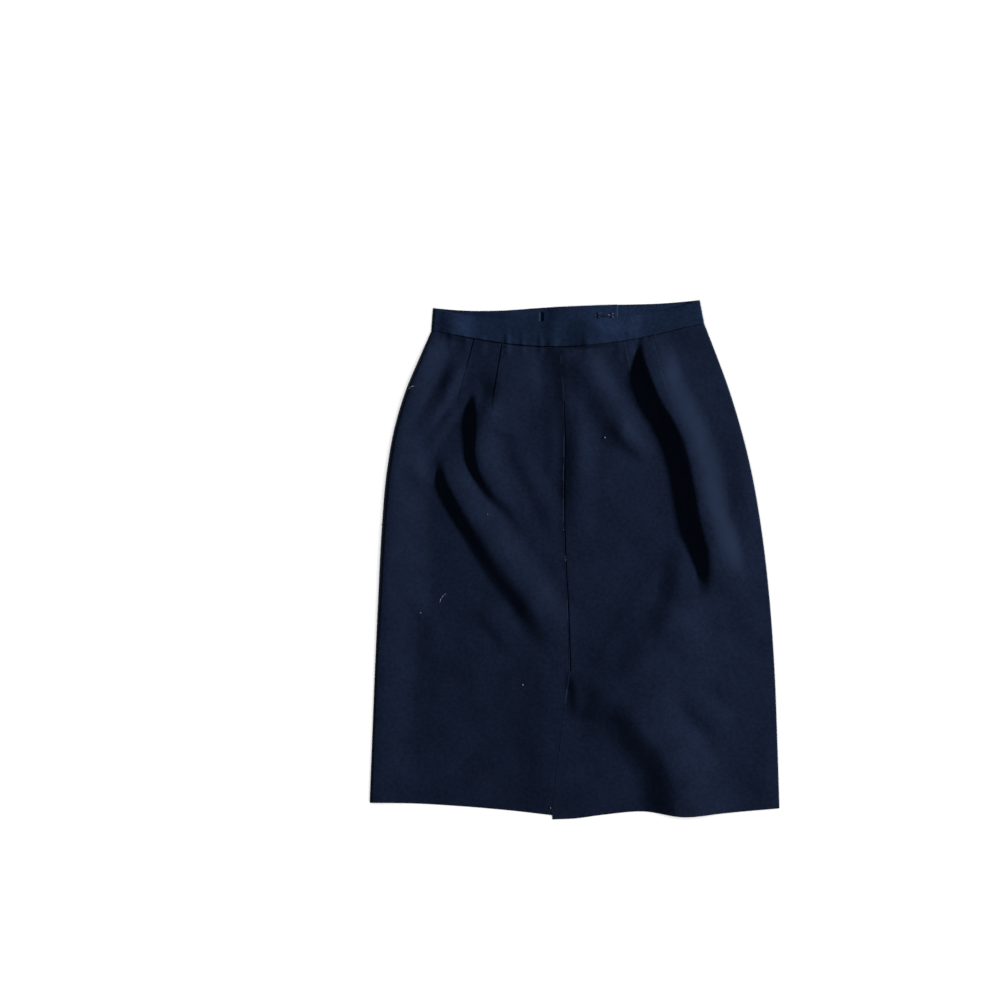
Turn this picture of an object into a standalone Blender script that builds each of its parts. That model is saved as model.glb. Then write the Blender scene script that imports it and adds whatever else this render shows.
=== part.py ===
# A pencil skirt laid flat, front up: two front panels with a vent in the centre-front seam,
# two back panels with a zip at the top of the seam between them, and one long waistband
# that closes with a hook and eye.
# X runs across the skirt, Y from the hem up to the waist, and Z is up. The origin is under
# the middle of the skirt. Sizes are in millimetres until a mesh is made from them.

import math
from collections import namedtuple

import bmesh
import bpy
import numpy as np

METRE = 0.001

# Walls, and the gap that is kept between neighbouring pieces
PANEL_WALL = 1.5
BAND_WALL = 2.2
GAP = 0.3

# Cross-sections of the skirt from the waist seam (fall 0) down to the hem (fall 1): where the
# left side seam, the centre seam and the right side seam lie, how high the cloth stands where
# it turns over at each side, and how far in from the left side it comes down to the flat front
Section = namedtuple("Section", "fall left centre right left_rise right_rise left_spread")
SECTIONS = (
    Section(0.00, -186.4, -18.9, 168.2, 9.0, 8.6, 36),
    Section(0.06, -202.4, -16.8, 182.9, 14.0, 8.4, 38),
    Section(0.12, -217.9, -14.3, 197.0, 16.0, 8.2, 44),
    Section(0.20, -232.9, -13.1, 212.9, 17.0, 8.0, 54),
    Section(0.30, -243.8, -14.0, 228.8, 17.5, 8.0, 54),
    Section(0.42, -250.2, -12.8, 242.2, 17.5, 8.0, 56),
    Section(0.56, -254.6, -8.3, 252.6, 15.5, 8.0, 58),
    Section(0.72, -259.2, -5.6, 259.8, 12.5, 8.0, 54),
    Section(0.86, -262.6, -4.3, 263.2, 11.5, 8.0, 56),
    Section(1.00, -266.0, -3.2, 266.0, 11.0, 8.0, 62),
)
TURN_WIDTH = 0.36
RIGHT_SPREAD = 48.0

# Waistband. Its two folded ends are straight lines; between them the front dips
WAIST_LEFT_Y = 327.0
WAIST_RIGHT_Y = 337.28
BAND_HEIGHT = 31.0
BAND_LEFT_TOP = -184.0
BAND_RIGHT_TOP = 162.4
BAND_RISE = 9.0
BAND_LEVEL = 5.0
BAND_PROUD = 0.4
BAND_ROLL_FALL = 50.0
TOP_DIP = 22.0
TOP_DIP_POWER = 0.85
SEAM_DIP = 24.8
SEAM_DIP_POWER = 1.3
OVERLAP_END = -18.9
UNDERLAP_END = 56.5
UNDERLAP_STEP = 22.0
LAP_MARGIN = 1.0

# Top edge of the back of the waistband, from the left fold to the right one
BackTop = namedtuple("BackTop", "x sag")
BACK_TOP = (
    BackTop(-184.0, 0.0),
    BackTop(-150.0, 3.8),
    BackTop(-100.0, 6.0),
    BackTop(-45.0, 3.8),
    BackTop(30.0, 2.6),
    BackTop(120.0, 2.5),
    BackTop(162.4, 0.0),
)

# Hem. The left front ends in a smooth dip, the right front in a wave
HEM_LEFT_Y = -314.9
HEM_LEFT_DIP = 16.6
HEM_LEFT_POWER = 1.7
HemPoint = namedtuple("HemPoint", "x y")
HEM_RIGHT = (
    HemPoint(-32.0, -337.4),
    HemPoint(0.0, -336.0),
    HemPoint(35.0, -331.4),
    HemPoint(88.0, -326.8),
    HemPoint(142.0, -333.0),
    HemPoint(190.0, -329.4),
    HemPoint(266.0, -322.6),
)
BACK_HEM_INSET = 3.0
BACK_HEM_DIP = 6.5

# Vent in the centre-front seam
VENT_FALL = 0.686
VENT_LEAN = 26.0
UNDERLAP_TOP = 31.0
UNDERLAP_HEM = 26.0
UNDERLAP_SLANT = 0.045
VENT_CLEAR = 1.95
VENT_BLEND = 0.07
VENT_FEATHER = 42.0

# How high the upper face of the front lies
CLOTH_LEVEL = 3.6
WAIST_EASE = 0.10

# Folds of the front. Each crest is a smooth line through a few places; the cloth is steep on
# the left of it and gentle on the right. A fold starts with a share of its full width (flare),
# and fades in and out over a share of its length at each end
Fold = namedtuple("Fold", "name height steep gentle flare fade_in fade_out crest")
FOLDS = (
    Fold("left_upper", 9.0, 18, 44, 0.6, 0.20, 0.32,
         ((-133, 222), (-130, 170), (-125, 122), (-107, 86), (-72, 38), (-62, 22))),
    Fold("left_long", 8.0, 19, 40, 0.6, 0.18, 0.22,
         ((-171, 146), (-165, 104), (-135, 52), (-103, 0), (-61, -52), (-30, -104), (-17, -128))),
    Fold("left_dart", 5.0, 24, 48, 1.0, 0.45, 0.35,
         ((-94, 262), (-98, 208), (-118, 168), (-119, 145))),
    Fold("left_short", 4.5, 20, 18, 1.0, 0.30, 0.40,
         ((-146, 266), (-159, 232), (-172, 207), (-206, 152))),
    Fold("left_hem", 4.0, 110, 60, 0.7, 0.40, 0.40,
         ((-19, -104), (-19, -200), (-19, -340))),
    Fold("centre_upper", 3.4, 24, 60, 1.0, 0.15, 0.40,
         ((-11, 285), (-7, 208), (0, 166))),
    Fold("centre_soft", 4.0, 26, 34, 1.0, 0.28, 0.50,
         ((-4, 206), (4, 156), (2, 104), (1, 50), (0, 0))),
    Fold("right_deep", 14.5, 24, 48, 0.6, 0.26, 0.16,
         ((84, 296), (87, 262), (107, 208), (139, 156), (156, 104), (167, 52), (180, 0),
          (187, -50))),
    Fold("right_soft", 5.0, 32, 30, 1.0, 0.20, 0.35,
         ((6, 272), (16, 250), (40, 207), (64, 168), (98, 131))),
    Fold("right_low", 6.0, 28, 34, 1.0, 0.30, 0.40,
         ((148, 34), (140, -10), (131, -48), (104, -94), (62, -130))),
    Fold("vent_long", 12.5, 50, 90, 0.36, 0.28, 0.01,
         ((-7, -136), (16, -156), (42, -176), (76, -208), (98, -234), (114, -256), (136, -299),
          (145, -345))),
)
CREST_SAMPLES = 90
FLARE_LENGTH = 0.6

# Darts: how far across its panel each one lies, and the fall at which it ends
Dart = namedtuple("Dart", "across end")
DARTS_LEFT = (Dart(0.333, 0.135), Dart(0.550, 0.145))
DARTS_RIGHT = (Dart(0.451, 0.158), Dart(0.639, 0.125))
DART_DEPTH = 0.9
DART_HALF = 0.022
DART_CLEAR = 1.6

# Grid of the panels
TURN_STEPS = 4
SEAM_STAND = 1.0
FRONT_ROWS = 46
FRONT_COLUMNS = 20
COLUMN_CROWDING = 0.35
FIRST_SHARE = 0.045
UNDERLAP_COLUMNS = 3
BACK_COLUMNS = 6
BACK_FALLS = (0, 0.04, 0.08, 0.12, 0.17, 0.23, 0.30, 0.38, 0.48, 0.60, 0.72, 0.86, 1)
BAND_STEP = 11.5
BAND_ROWS = 4

# The centre-back seam, and the zip in it on the inner face of the back
BACK_SEAM_SHIFT = 7.0
ZIP_WIDTH = 26.0
ZIP_LENGTH = 178.0
ZIP_BELOW_SEAM = 2.0
ZIP_THICK = 0.8
ZIP_LIFT = 1.0
ZIP_MARGIN = 2.0
ZIP_FEATHER = 16.0
SLIDER_WIDTH = 7.0
SLIDER_LENGTH = 10.0
SLIDER_THICK = 1.5
SLIDER_DROP = 4.0
SLIDER_ROUND = 0.6

# Hook and eye of bent wire on the inner face of the underlap
WIRE_RADIUS = 0.4
HOOK_MIDDLE = (43.5, 317.6)
HOOK_SHANK = 11.5
EYE_SHANK = 5.0
SHANK_HALF = 0.8
LOOP_RADIUS = 1.0
LOOP_TURN = 250.0
HOOK_LIFT = 1.4

# Colour, roughness and metallic value of each material
Finish = namedtuple("Finish", "name colour roughness metallic")
NAVY = (0.0078, 0.0125, 0.0285)
FINISHES = {
    "front_left": Finish("wool_front_left", NAVY, 0.85, 0.0),
    "front_right": Finish("wool_front_right", NAVY, 0.85, 0.0),
    "back_left": Finish("wool_back_left", NAVY, 0.85, 0.0),
    "back_right": Finish("wool_back_right", NAVY, 0.85, 0.0),
    "waistband": Finish("wool_waistband", NAVY, 0.85, 0.0),
    "zip_tape": Finish("zip_tape_cloth", (0.006, 0.009, 0.020), 0.8, 0.0),
    "zip_slider": Finish("slider_metal", (0.03, 0.035, 0.05), 0.45, 1.0),
    "hook": Finish("hook_wire", (0.09, 0.10, 0.17), 0.40, 1.0),
    "eye": Finish("eye_wire", (0.09, 0.10, 0.17), 0.40, 1.0),
}


def ramp(value):
    """Smooth step from 0 to 1."""
    value = np.clip(value, 0.0, 1.0)
    return value * value * (3.0 - 2.0 * value)


def through(knots, heights, where):
    """Smooth curve through the points (knots, heights), read at where."""
    knots = np.asarray(knots, dtype=float)
    heights = np.asarray(heights, dtype=float)
    where = np.asarray(where, dtype=float)
    slopes = np.gradient(heights, knots)
    start = np.clip(np.searchsorted(knots, where, side="right") - 1, 0, len(knots) - 2)
    step = knots[start + 1] - knots[start]
    t = np.clip((where - knots[start]) / step, 0.0, 1.0)
    rest = 1.0 - t
    value = (1.0 + 2.0 * t) * rest**2 * heights[start]
    value += t * rest**2 * step * slopes[start]
    value += t**2 * (3.0 - 2.0 * t) * heights[start + 1]
    value -= t**2 * rest * step * slopes[start + 1]
    return value


def section(name, fall):
    """One column of the section table, read at a fall."""
    column = [getattr(row, name) for row in SECTIONS]
    return through([row.fall for row in SECTIONS], column, fall)


def waist_line(x):
    """Straight line between the two top corners of the waistband."""
    share = (x - BAND_LEFT_TOP) / (BAND_RIGHT_TOP - BAND_LEFT_TOP)
    return WAIST_LEFT_Y + (WAIST_RIGHT_Y - WAIST_LEFT_Y) * share


def dip(x, left, right, depth, power):
    """A sag between two ends, deepest in the middle."""
    across = (2.0 * x - left - right) / (right - left)
    return depth * np.clip(1.0 - across**2, 0.0, 1.0)**power


def band_top_front(x):
    """Top edge of the front of the waistband."""
    return waist_line(x) - dip(x, BAND_LEFT_TOP, BAND_RIGHT_TOP, TOP_DIP, TOP_DIP_POWER)


def seam_front(x):
    """Seam between the waistband and the front panels."""
    sag = dip(x, SECTIONS[0].left, SECTIONS[0].right, SEAM_DIP, SEAM_DIP_POWER)
    return waist_line(x) - BAND_HEIGHT - sag


def band_top_back(x):
    """Top edge of the back of the waistband."""
    return waist_line(x) - through([row.x for row in BACK_TOP], [row.sag for row in BACK_TOP], x)


def seam_back(x):
    """Seam between the waistband and the back panels."""
    return band_top_back(x) - BAND_HEIGHT


def hem_front(x, side):
    """Hem of one front panel."""
    if side == "left":
        share = (x - SECTIONS[-1].left) / (SECTIONS[-1].centre - VENT_LEAN - SECTIONS[-1].left)
        return HEM_LEFT_Y - HEM_LEFT_DIP * np.clip(share, 0.0, 1.0)**HEM_LEFT_POWER
    return through([row.x for row in HEM_RIGHT], [row.y for row in HEM_RIGHT], x)


def hem_back(x):
    """Hem of the back, which lies just inside the front's hem."""
    ends = (SECTIONS[-1].left, SECTIONS[-1].right)
    straight = np.interp(x, ends, (HEM_LEFT_Y, HEM_RIGHT[-1].y))
    return straight - dip(x, *ends, BACK_HEM_DIP, 1.0) + BACK_HEM_INSET


def crest_line(fold):
    """Points evenly spread along a smooth curve through the fold's places."""
    places = np.array(fold.crest, dtype=float)
    spans = np.hypot(*np.diff(places, axis=0).T)
    knots = np.concatenate(([0.0], np.cumsum(spans)))
    along = np.linspace(0.0, knots[-1], CREST_SAMPLES)
    return np.stack([through(knots, places[:, axis], along) for axis in (0, 1)], axis=-1)


def fold_height(fold, x, y):
    """Height of one fold: a steep flank on the left of its crest, a gentle one on the right."""
    crest = crest_line(fold)
    heading = np.gradient(crest, axis=0)
    spacing = np.mean(np.linalg.norm(heading, axis=1))
    heading /= np.linalg.norm(heading, axis=1)[:, None]
    away_x = np.asarray(x)[..., None] - crest[:, 0]
    away_y = np.asarray(y)[..., None] - crest[:, 1]
    nearest = np.argmin(away_x**2 + away_y**2, axis=-1)
    off_x = np.take_along_axis(away_x, nearest[..., None], -1)[..., 0]
    off_y = np.take_along_axis(away_y, nearest[..., None], -1)[..., 0]
    side = heading[nearest, 0] * off_y - heading[nearest, 1] * off_x
    ahead = (heading[nearest, 0] * off_x + heading[nearest, 1] * off_y) / spacing
    along = np.clip((nearest + ahead) / (CREST_SAMPLES - 1), 0.0, 1.0)
    width = np.where(side < 0, fold.steep, fold.gentle)
    width = width * (fold.flare + (1.0 - fold.flare) * ramp(along / FLARE_LENGTH))
    reach = np.clip(np.hypot(off_x, off_y) / width, 0.0, 1.0)
    fade = ramp(along / fold.fade_in) * ramp((1.0 - along) / fold.fade_out)
    return fold.height * fade * np.cos(0.5 * math.pi * reach)**2


def band_level(x):
    """Upper face of the flat part of the front waistband: it steps up over the underlap."""
    onto = ramp((x - OVERLAP_END + 2.0 * UNDERLAP_STEP) / UNDERLAP_STEP)
    off = ramp((x - UNDERLAP_END - 0.5 * UNDERLAP_STEP) / UNDERLAP_STEP)
    return BAND_LEVEL + (BAND_WALL + GAP) * onto * (1.0 - off)


def zip_middle():
    """Where the centre-back seam and its zip lie across the skirt."""
    return float(section("centre", 0.0)) + BACK_SEAM_SHIFT


def front_level(x, y, fall, side):
    """Upper face of a front panel away from its side seam."""
    waist = band_level(x) - BAND_PROUD
    level = CLOTH_LEVEL + (waist - CLOTH_LEVEL) * (1.0 - ramp(fall / WAIST_EASE))
    from_edge = np.abs(x - zip_middle()) - 0.5 * ZIP_WIDTH
    beside = ramp(1.0 - (from_edge - ZIP_MARGIN) / ZIP_FEATHER)
    below = ramp(1.0 - (seam_back(x) - ZIP_LENGTH - y) / ZIP_FEATHER)
    level = np.maximum(level, CLOTH_LEVEL + ZIP_LIFT * beside * below)
    for fold in FOLDS:
        level = level + fold_height(fold, x, y)
    if side == "left":
        edge = section("centre", fall) - UNDERLAP_TOP - VENT_FEATHER
        over = ramp((x - edge) / VENT_FEATHER)
        over = over * ramp((fall - VENT_FALL + VENT_BLEND) / VENT_BLEND)
        level = level + VENT_CLEAR * over
    return level


def dart_depth(across, fall, darts):
    """Groove along each dart, which closes towards the dart's end."""
    depth = np.zeros(np.broadcast(across, fall).shape)
    for dart in darts:
        beside = np.clip(1.0 - np.abs(across - dart.across) / DART_HALF, 0.0, 1.0)
        depth = depth + DART_DEPTH * beside * np.clip(1.0 - fall / dart.end, 0.0, 1.0)**0.5
    return depth


def column_shares(darts):
    """Shares across a panel for its columns: closest in the middle, and three on each dart."""
    even = np.linspace(0.0, 1.0, FRONT_COLUMNS + 1)
    shares = list(even + COLUMN_CROWDING * np.sin(2.0 * math.pi * even) / (2.0 * math.pi))
    for dart in darts:
        shares = [share for share in shares if abs(share - dart.across) > DART_CLEAR * DART_HALF]
        shares += [dart.across - DART_HALF, dart.across, dart.across + DART_HALF]
    return np.array(sorted(shares))


def turn_angles():
    """Angles round a side's quarter turn, after a short upright stretch at the seam."""
    return np.concatenate(([0.0], np.linspace(0.0, 0.5 * math.pi, TURN_STEPS + 1)))[None, :]


def front_points(side):
    """Outer face of a front panel, as rows of points from the side seam to the centre."""
    left = side == "left"
    darts = DARTS_LEFT if left else DARTS_RIGHT
    fall = np.linspace(0.0, 1.0, FRONT_ROWS + 1)[:, None]
    edge = section(side, fall)
    sign = 1.0 if left else -1.0
    centre = section("centre", fall) - sign * 0.5 * GAP
    if left:
        below = np.clip((fall - VENT_FALL) / (1.0 - VENT_FALL), 0.0, 1.0)
        centre = centre - VENT_LEAN * below
    rise = section(side + "_rise", fall)
    turn = TURN_WIDTH * rise

    # Shares are measured from the side seam; darts are placed from the panel's left edge
    dart_shares = column_shares(darts)
    shares = dart_shares if left else (1.0 - dart_shares)[::-1]
    shares = shares[shares > FIRST_SHARE]
    angle = turn_angles()
    flat_x = edge + (centre - edge) * shares[None, :]
    turn_x = edge + sign * turn * (1.0 - np.cos(angle))
    x = np.concatenate((turn_x, flat_x), axis=1)

    across = (x - edge) / (centre - edge)
    top_x = edge[0] + (centre[0] - edge[0]) * across
    hem_x = edge[-1] + (centre[-1] - edge[-1]) * across
    y = seam_front(top_x) * (1.0 - fall) + hem_front(hem_x, side) * fall

    inward = np.clip(np.abs(x - edge) - turn, 0.0, None)
    spread = section("left_spread", fall) if left else RIGHT_SPREAD
    roll = (rise - CLOTH_LEVEL) * (1.0 - ramp(inward / spread))
    z = front_level(x, y, fall, side) + roll
    z -= dart_depth(across if left else 1.0 - across, fall, darts)

    seam = 0.5 * rise + GAP
    last = angle.shape[1]
    top = z[:, last - 1:last]
    z[:, :last] = seam + SEAM_STAND + (top - seam - SEAM_STAND) * np.sin(angle)
    z[:, :1] = seam
    points = np.stack((x, y, z), axis=-1)
    if left:
        return points
    return np.concatenate((underlap_points(fall, centre), points[:, ::-1]), axis=1)


def underlap_points(fall, centre):
    """Cut-on underlap of the vent: no width above the vent, then a slanted top."""
    shares = np.linspace(1.0, 0.0, UNDERLAP_COLUMNS, endpoint=False)[None, :]
    below = np.clip((fall - VENT_FALL) / (1.0 - VENT_FALL), 0.0, 1.0)
    full = UNDERLAP_TOP + (UNDERLAP_HEM - UNDERLAP_TOP) * below
    width = full * np.clip((fall - VENT_FALL) / UNDERLAP_SLANT, 0.0, 1.0)
    x = centre - width * shares
    hem_x = centre[-1] - np.where(width > 0.0, full[-1] * shares, 0.0)
    y = seam_front(centre[0]) * (1.0 - fall) + hem_front(hem_x, "right") * fall
    z = front_level(x, y, fall, "right")
    return np.stack(np.broadcast_arrays(x, y, z), axis=-1)


def back_points(side):
    """Outer face of a back panel, which lies on the floor and turns up at its side seam."""
    left = side == "left"
    sign = 1.0 if left else -1.0
    fall = np.array(BACK_FALLS, dtype=float)[:, None]
    edge = section(side, fall)
    centre = np.full_like(edge, zip_middle()) - sign * 0.5 * GAP
    rise = section(side + "_rise", fall)
    seam = 0.5 * rise
    angle = turn_angles()
    shares = np.linspace(0.0, 1.0, BACK_COLUMNS + 1)[None, 1:]
    turn_x = edge + sign * TURN_WIDTH * rise * (1.0 - np.cos(angle))
    start = turn_x[:, -1:]
    x = np.concatenate((turn_x, start + (centre - start) * shares), axis=1)
    across = (x - edge) / (centre - edge)
    top_x = edge[0] + (centre[0] - edge[0]) * across
    hem_x = edge[-1] + (centre[-1] - edge[-1]) * across
    y = seam_back(top_x) * (1.0 - fall) + hem_back(hem_x) * fall
    z = np.zeros_like(x)
    z[:, :angle.shape[1]] = (seam - SEAM_STAND) * (1.0 - np.sin(angle))
    z[:, :1] = seam
    points = np.stack((x, y, z), axis=-1)
    return points[:, ::-1] if left else points


def band_points():
    """Outer face of the waistband: from the underlap's end round both folds to the overlap's."""
    half = 0.5 * BAND_RISE
    share = np.linspace(1.0, 0.0, BAND_ROWS + 1)[:, None]
    left = SECTIONS[0].left + (BAND_LEFT_TOP - SECTIONS[0].left) * share
    right = SECTIONS[0].right + (BAND_RIGHT_TOP - SECTIONS[0].right) * share

    def run(start, end):
        """Columns from one line across the band to another, at most a step apart."""
        count = int(np.ceil(np.max(np.abs(end - start)) / BAND_STEP))
        return start + (end - start) * np.linspace(0.0, 1.0, count + 1)[None, :]

    def back(x):
        bottom = seam_back(x) + GAP
        return bottom + (band_top_back(x) - bottom) * share

    def front(x):
        bottom = seam_front(x) + GAP
        return bottom + (band_top_front(x) - bottom) * share

    def raised(x):
        """The underlap climbs onto the overlap before it reaches the overlap's end."""
        climbed = x - OVERLAP_END + UNDERLAP_STEP + LAP_MARGIN
        return (BAND_WALL + GAP) * ramp(climbed / UNDERLAP_STEP)

    def top(x):
        inward = np.minimum(x - left, right - x) - half
        return band_level(x) + (BAND_RISE - BAND_LEVEL) * (1.0 - ramp(inward / BAND_ROLL_FALL))

    angle = np.linspace(-0.5 * math.pi, 0.5 * math.pi, 2 * TURN_STEPS + 1)[None, 1:-1]
    under_x = run(np.full_like(left, UNDERLAP_END), left + half)
    left_x = left + half * (1.0 - np.cos(angle))
    front_x = run(left + half, right - half)
    right_x = right - half * (1.0 - np.cos(angle))
    over_x = run(right - half, np.full_like(right, OVERLAP_END))
    turn_z = half * (1.0 + np.sin(angle))

    def turn_y(x):
        return np.where(angle < 0.0, back(x), front(x))

    runs = (
        (under_x, back(under_x), raised(under_x)),
        (left_x, turn_y(left_x), turn_z),
        (front_x, front(front_x), top(front_x)),
        (right_x[:, ::-1], turn_y(right_x)[:, ::-1], turn_z[:, ::-1]),
        (over_x, back(over_x), 0.0),
    )
    stretches = [np.stack(np.broadcast_arrays(*places), axis=-1) for places in runs]
    return np.concatenate(stretches, axis=1)


def finish(piece):
    """Give a piece its own material."""
    look = FINISHES[piece.name]
    material = bpy.data.materials.new(look.name)
    material.use_nodes = True
    shader = material.node_tree.nodes["Principled BSDF"]
    shader.inputs["Base Color"].default_value = (*look.colour, 1.0)
    shader.inputs["Roughness"].default_value = look.roughness
    shader.inputs["Metallic"].default_value = look.metallic
    piece.data.materials.clear()
    piece.data.materials.append(material)


def cloth(name, points, wall, collection):
    """A cloth wall: the outer face is an open grid of points, and Solidify adds the wall."""
    rows, columns = points.shape[:2]
    index = np.arange(rows * columns).reshape(rows, columns)
    corners = (index[:-1, :-1], index[1:, :-1], index[1:, 1:], index[:-1, 1:])
    faces = np.stack(corners, axis=-1).reshape(-1, 4)
    mesh = bpy.data.meshes.new(name)
    mesh.from_pydata((points.reshape(-1, 3) * METRE).tolist(), [], faces.tolist())
    grid = bmesh.new()
    grid.from_mesh(mesh)
    bmesh.ops.remove_doubles(grid, verts=grid.verts, dist=0.00001)
    grid.to_mesh(mesh)
    grid.free()
    mesh.shade_smooth()
    piece = bpy.data.objects.new(name, mesh)
    collection.objects.link(piece)
    solid = piece.modifiers.new("wall", "SOLIDIFY")
    solid.thickness = wall * METRE
    solid.offset = -1.0
    solid.use_even_offset = True
    finish(piece)
    return piece


def slab(name, size, place, rounding, collection):
    """A block with rounded edges, centred at a place."""
    bpy.ops.mesh.primitive_cube_add(size=1.0)
    piece = bpy.context.object
    piece.name = name
    piece.data.name = name
    for vertex in piece.data.vertices:
        vertex.co = [value * length * METRE for value, length in zip(vertex.co, size)]
    piece.location = [value * METRE for value in place]
    bevel = piece.modifiers.new("edges", "BEVEL")
    bevel.width = rounding * METRE
    bevel.segments = 2
    move_to(piece, collection)
    finish(piece)
    return piece


def wire(name, points, collection):
    """A round wire along a list of places."""
    curve = bpy.data.curves.new(name, "CURVE")
    curve.dimensions = "3D"
    curve.bevel_depth = WIRE_RADIUS * METRE
    curve.bevel_resolution = 1
    curve.use_fill_caps = True
    spline = curve.splines.new("POLY")
    spline.points.add(len(points) - 1)
    for point, place in zip(spline.points, points):
        point.co = (*[value * METRE for value in place], 1.0)
    spline.use_smooth = True
    piece = bpy.data.objects.new(name, curve)
    collection.objects.link(piece)
    finish(piece)
    return piece


def move_to(piece, collection):
    """Take a piece out of its collections and put it in this one."""
    for owner in list(piece.users_collection):
        owner.objects.unlink(piece)
    collection.objects.link(piece)


def wire_route(shank, lift, heading):
    """Bent wire: a sewing loop, a shank, a round nose, the other shank and its loop."""
    middle_x, middle_y = HOOK_MIDDLE
    base = BAND_WALL + GAP + BAND_WALL + GAP + WIRE_RADIUS
    turns = np.radians(np.linspace(LOOP_TURN, 0.0, 9))
    loop_x = -LOOP_RADIUS * np.sin(turns)
    loop_y = SHANK_HALF + LOOP_RADIUS * (1.0 - np.cos(turns))
    nose = np.radians(np.linspace(90.0, -90.0, 7))
    nose_x = shank + SHANK_HALF * np.cos(nose)
    half_x = np.concatenate((loop_x, [0.5 * shank]))
    half_y = np.concatenate((loop_y, [SHANK_HALF]))
    x = np.concatenate((half_x, nose_x, half_x[::-1]))
    y = np.concatenate((half_y, SHANK_HALF * np.sin(nose), -half_y[::-1]))
    z = base + lift * ramp(x / shank)
    return [(middle_x + heading * (a - shank), middle_y + b, c) for a, b, c in zip(x, y, z)]


def build():
    """Clear the scene, then make every piece of the skirt."""
    for old in list(bpy.data.objects):
        bpy.data.objects.remove(old, do_unlink=True)
    skirt = bpy.data.collections.new("pencil_skirt")
    bpy.context.scene.collection.children.link(skirt)

    for side in ("left", "right"):
        cloth("front_" + side, front_points(side), PANEL_WALL, skirt)
        cloth("back_" + side, back_points(side), PANEL_WALL, skirt)
    cloth("waistband", band_points(), BAND_WALL, skirt)

    zip_top = float(seam_back(zip_middle())) - ZIP_BELOW_SEAM
    zip_level = PANEL_WALL + GAP
    zip_y = zip_top - 0.5 * ZIP_LENGTH
    size = (ZIP_WIDTH, ZIP_LENGTH, ZIP_THICK)
    slab("zip_tape", size, (zip_middle(), zip_y, zip_level + 0.5 * ZIP_THICK), 0.2, skirt)
    size = (SLIDER_WIDTH, SLIDER_LENGTH, SLIDER_THICK)
    slider_y = zip_top - SLIDER_DROP - 0.5 * SLIDER_LENGTH
    slider_z = zip_level + ZIP_THICK + GAP + 0.5 * SLIDER_THICK
    slab("zip_slider", size, (zip_middle(), slider_y, slider_z), SLIDER_ROUND, skirt)

    wire("hook", wire_route(HOOK_SHANK, HOOK_LIFT, 1.0), skirt)
    wire("eye", wire_route(EYE_SHANK, 0.0, -1.0), skirt)


build()
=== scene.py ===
# A pencil skirt laid flat, front up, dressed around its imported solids: a fine cloth shell for
# each panel and for the waistband, the zip with its teeth, and the hook and eye sewn in place.

import math
from collections import namedtuple

import bpy
import numpy as np
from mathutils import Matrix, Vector


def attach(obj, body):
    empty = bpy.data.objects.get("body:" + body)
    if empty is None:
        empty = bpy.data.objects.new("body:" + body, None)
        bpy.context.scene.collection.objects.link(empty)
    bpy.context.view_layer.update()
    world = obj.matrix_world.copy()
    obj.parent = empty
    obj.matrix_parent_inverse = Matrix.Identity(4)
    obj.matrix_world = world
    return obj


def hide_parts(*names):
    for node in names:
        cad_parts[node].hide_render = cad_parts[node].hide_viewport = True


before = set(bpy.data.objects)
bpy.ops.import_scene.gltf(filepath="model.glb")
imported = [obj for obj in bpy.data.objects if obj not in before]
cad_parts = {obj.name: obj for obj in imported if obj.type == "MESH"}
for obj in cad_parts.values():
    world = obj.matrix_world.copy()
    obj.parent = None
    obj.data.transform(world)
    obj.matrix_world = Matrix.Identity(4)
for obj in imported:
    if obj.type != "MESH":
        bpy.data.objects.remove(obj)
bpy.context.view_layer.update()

mm = 0.001               # sizes below are in millimetres, and meshes are in metres

# The cut that all pieces share. A fall runs from the waist seam (0) down to the hem (1). Sections
# say where the sides and the centre seam lie there, how high the cloth turns over at each side,
# and how far in from the left it is down again
Section = namedtuple("Section", "fall left centre right leftRise rightRise leftSpread")
skirtCut = {
    "sections": [Section(*row) for row in (
        (0.00, -186.4, -18.9, 168.2, 9.0, 6.8, 34),
        (0.06, -202.4, -16.8, 182.9, 15.0, 5.6, 34),
        (0.12, -217.9, -14.3, 197.0, 16.5, 5.8, 40),
        (0.20, -232.9, -13.1, 212.9, 17.0, 6.3, 54),
        (0.30, -243.8, -14.0, 228.8, 18.5, 5.8, 50),
        (0.42, -250.2, -12.8, 242.2, 18.0, 5.6, 60),
        (0.56, -254.6, -8.3, 252.6, 17.0, 5.6, 64),
        (0.72, -259.2, -5.6, 259.8, 12.5, 5.2, 50),
        (0.86, -262.6, -4.3, 263.2, 11.5, 5.2, 54),
        (1.00, -266.0, -3.2, 266.0, 11.0, 5.2, 62),
    )],
    "wall": 1.5,
    "gap": 0.3,
    "sideGap": 0.05,     # the panels all but touch along the side seams
    "turnWidth": 0.36,   # how far a side turn reaches in, as a share of its rise
    "rightSpread": 56.0,
    "clothLevel": 3.6,   # upper face of the flat front
    "rim": 0.55,         # how far a cut or folded edge bulges
}

topSection, footSection = skirtCut["sections"][0], skirtCut["sections"][-1]

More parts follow.
